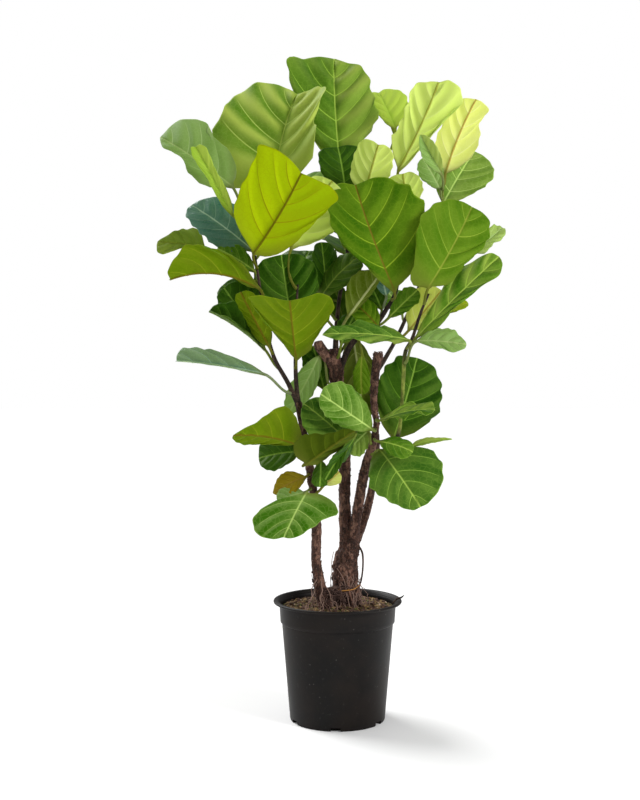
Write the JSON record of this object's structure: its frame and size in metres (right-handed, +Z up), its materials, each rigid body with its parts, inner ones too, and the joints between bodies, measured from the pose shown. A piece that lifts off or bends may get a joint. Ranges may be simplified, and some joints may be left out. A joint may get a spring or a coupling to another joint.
{
  "type": "potted fiddle leaf fig",
  "caption": "Tall fiddle leaf fig with woody trunks and broad waved leaves in a black nursery pot, a floor plant for a room",
  "frame": {"origin": "centre of the pot's flat underside, on the floor", "axes": "+Z up along the plant, -Y the front, +X to the right seen from the front"},
  "size_m": [0.7506, 0.4707, 1.4203],
  "materials": {
    "pot_plastic": "black recycled plastic, satin to matte, lightly dusty and scuffed",
    "soil": "coarse bark, coir and peat potting mix",
    "bark": "rough reddish brown bark with grey patches and leaf-scar rings",
    "leaf_deep": "waxy, deep green, old leaf",
    "leaf_mid": "waxy, middle green with pale veins",
    "leaf_bright": "waxy, bright green with pale veins",
    "leaf_olive": "duller underside, olive with reddish veins",
    "leaf_young": "waxy, yellow-green, young leaf",
    "leaf_pale": "matt pale underside with raised veins",
    "leaf_grey": "glossy, green with a grey sheen",
    "leaf_gold": "waxy, golden, ageing leaf"
  },
  "bodies": {
    "root": {"pot": "pot_plastic", "soil": "soil", "trunk_left": "bark", "trunk_main": "bark", "leaf_01": "leaf_mid", "leaf_02": "leaf_young", "leaf_03": "leaf_mid", "leaf_04": "leaf_mid", "leaf_05": "leaf_young", "leaf_06": "leaf_grey", "leaf_07": "leaf_olive", "leaf_08": "leaf_olive", "leaf_09": "leaf_mid", "leaf_10": "leaf_young", "leaf_11": "leaf_deep", "leaf_12": "leaf_olive", "leaf_13": "leaf_olive", "leaf_14": "leaf_deep", "leaf_15": "leaf_mid", "leaf_16": "leaf_grey", "leaf_17": "leaf_olive", "leaf_18": "leaf_olive", "leaf_19": "leaf_deep", "leaf_20": "leaf_deep", "leaf_21": "leaf_mid", "leaf_22": "leaf_mid", "leaf_23": "leaf_deep", "leaf_24": "leaf_mid", "leaf_25": "leaf_young", "leaf_26": "leaf_mid", "leaf_27": "leaf_mid", "leaf_28": "leaf_bright", "leaf_29": "leaf_gold", "leaf_30": "leaf_deep", "leaf_31": "leaf_deep", "leaf_32": "leaf_pale", "leaf_33": "leaf_young", "leaf_34": "leaf_pale", "leaf_35": "leaf_young", "leaf_36": "leaf_mid", "leaf_37": "leaf_pale", "leaf_38": "leaf_mid", "leaf_39": "leaf_mid", "leaf_40": "leaf_mid", "leaf_41": "leaf_mid", "leaf_42": "leaf_mid", "leaf_43": "leaf_young", "leaf_44": "leaf_grey", "leaf_45": "leaf_deep", "leaf_46": "leaf_pale", "leaf_47": "leaf_deep", "leaf_48": "leaf_deep", "leaf_49": "leaf_olive", "leaf_50": "leaf_olive", "leaf_51": "leaf_mid", "leaf_52": "leaf_deep", "leaf_53": "leaf_mid", "leaf_54": "leaf_deep", "leaf_55": "leaf_young", "leaf_56": "leaf_grey"}
  },
  "joints": []
}
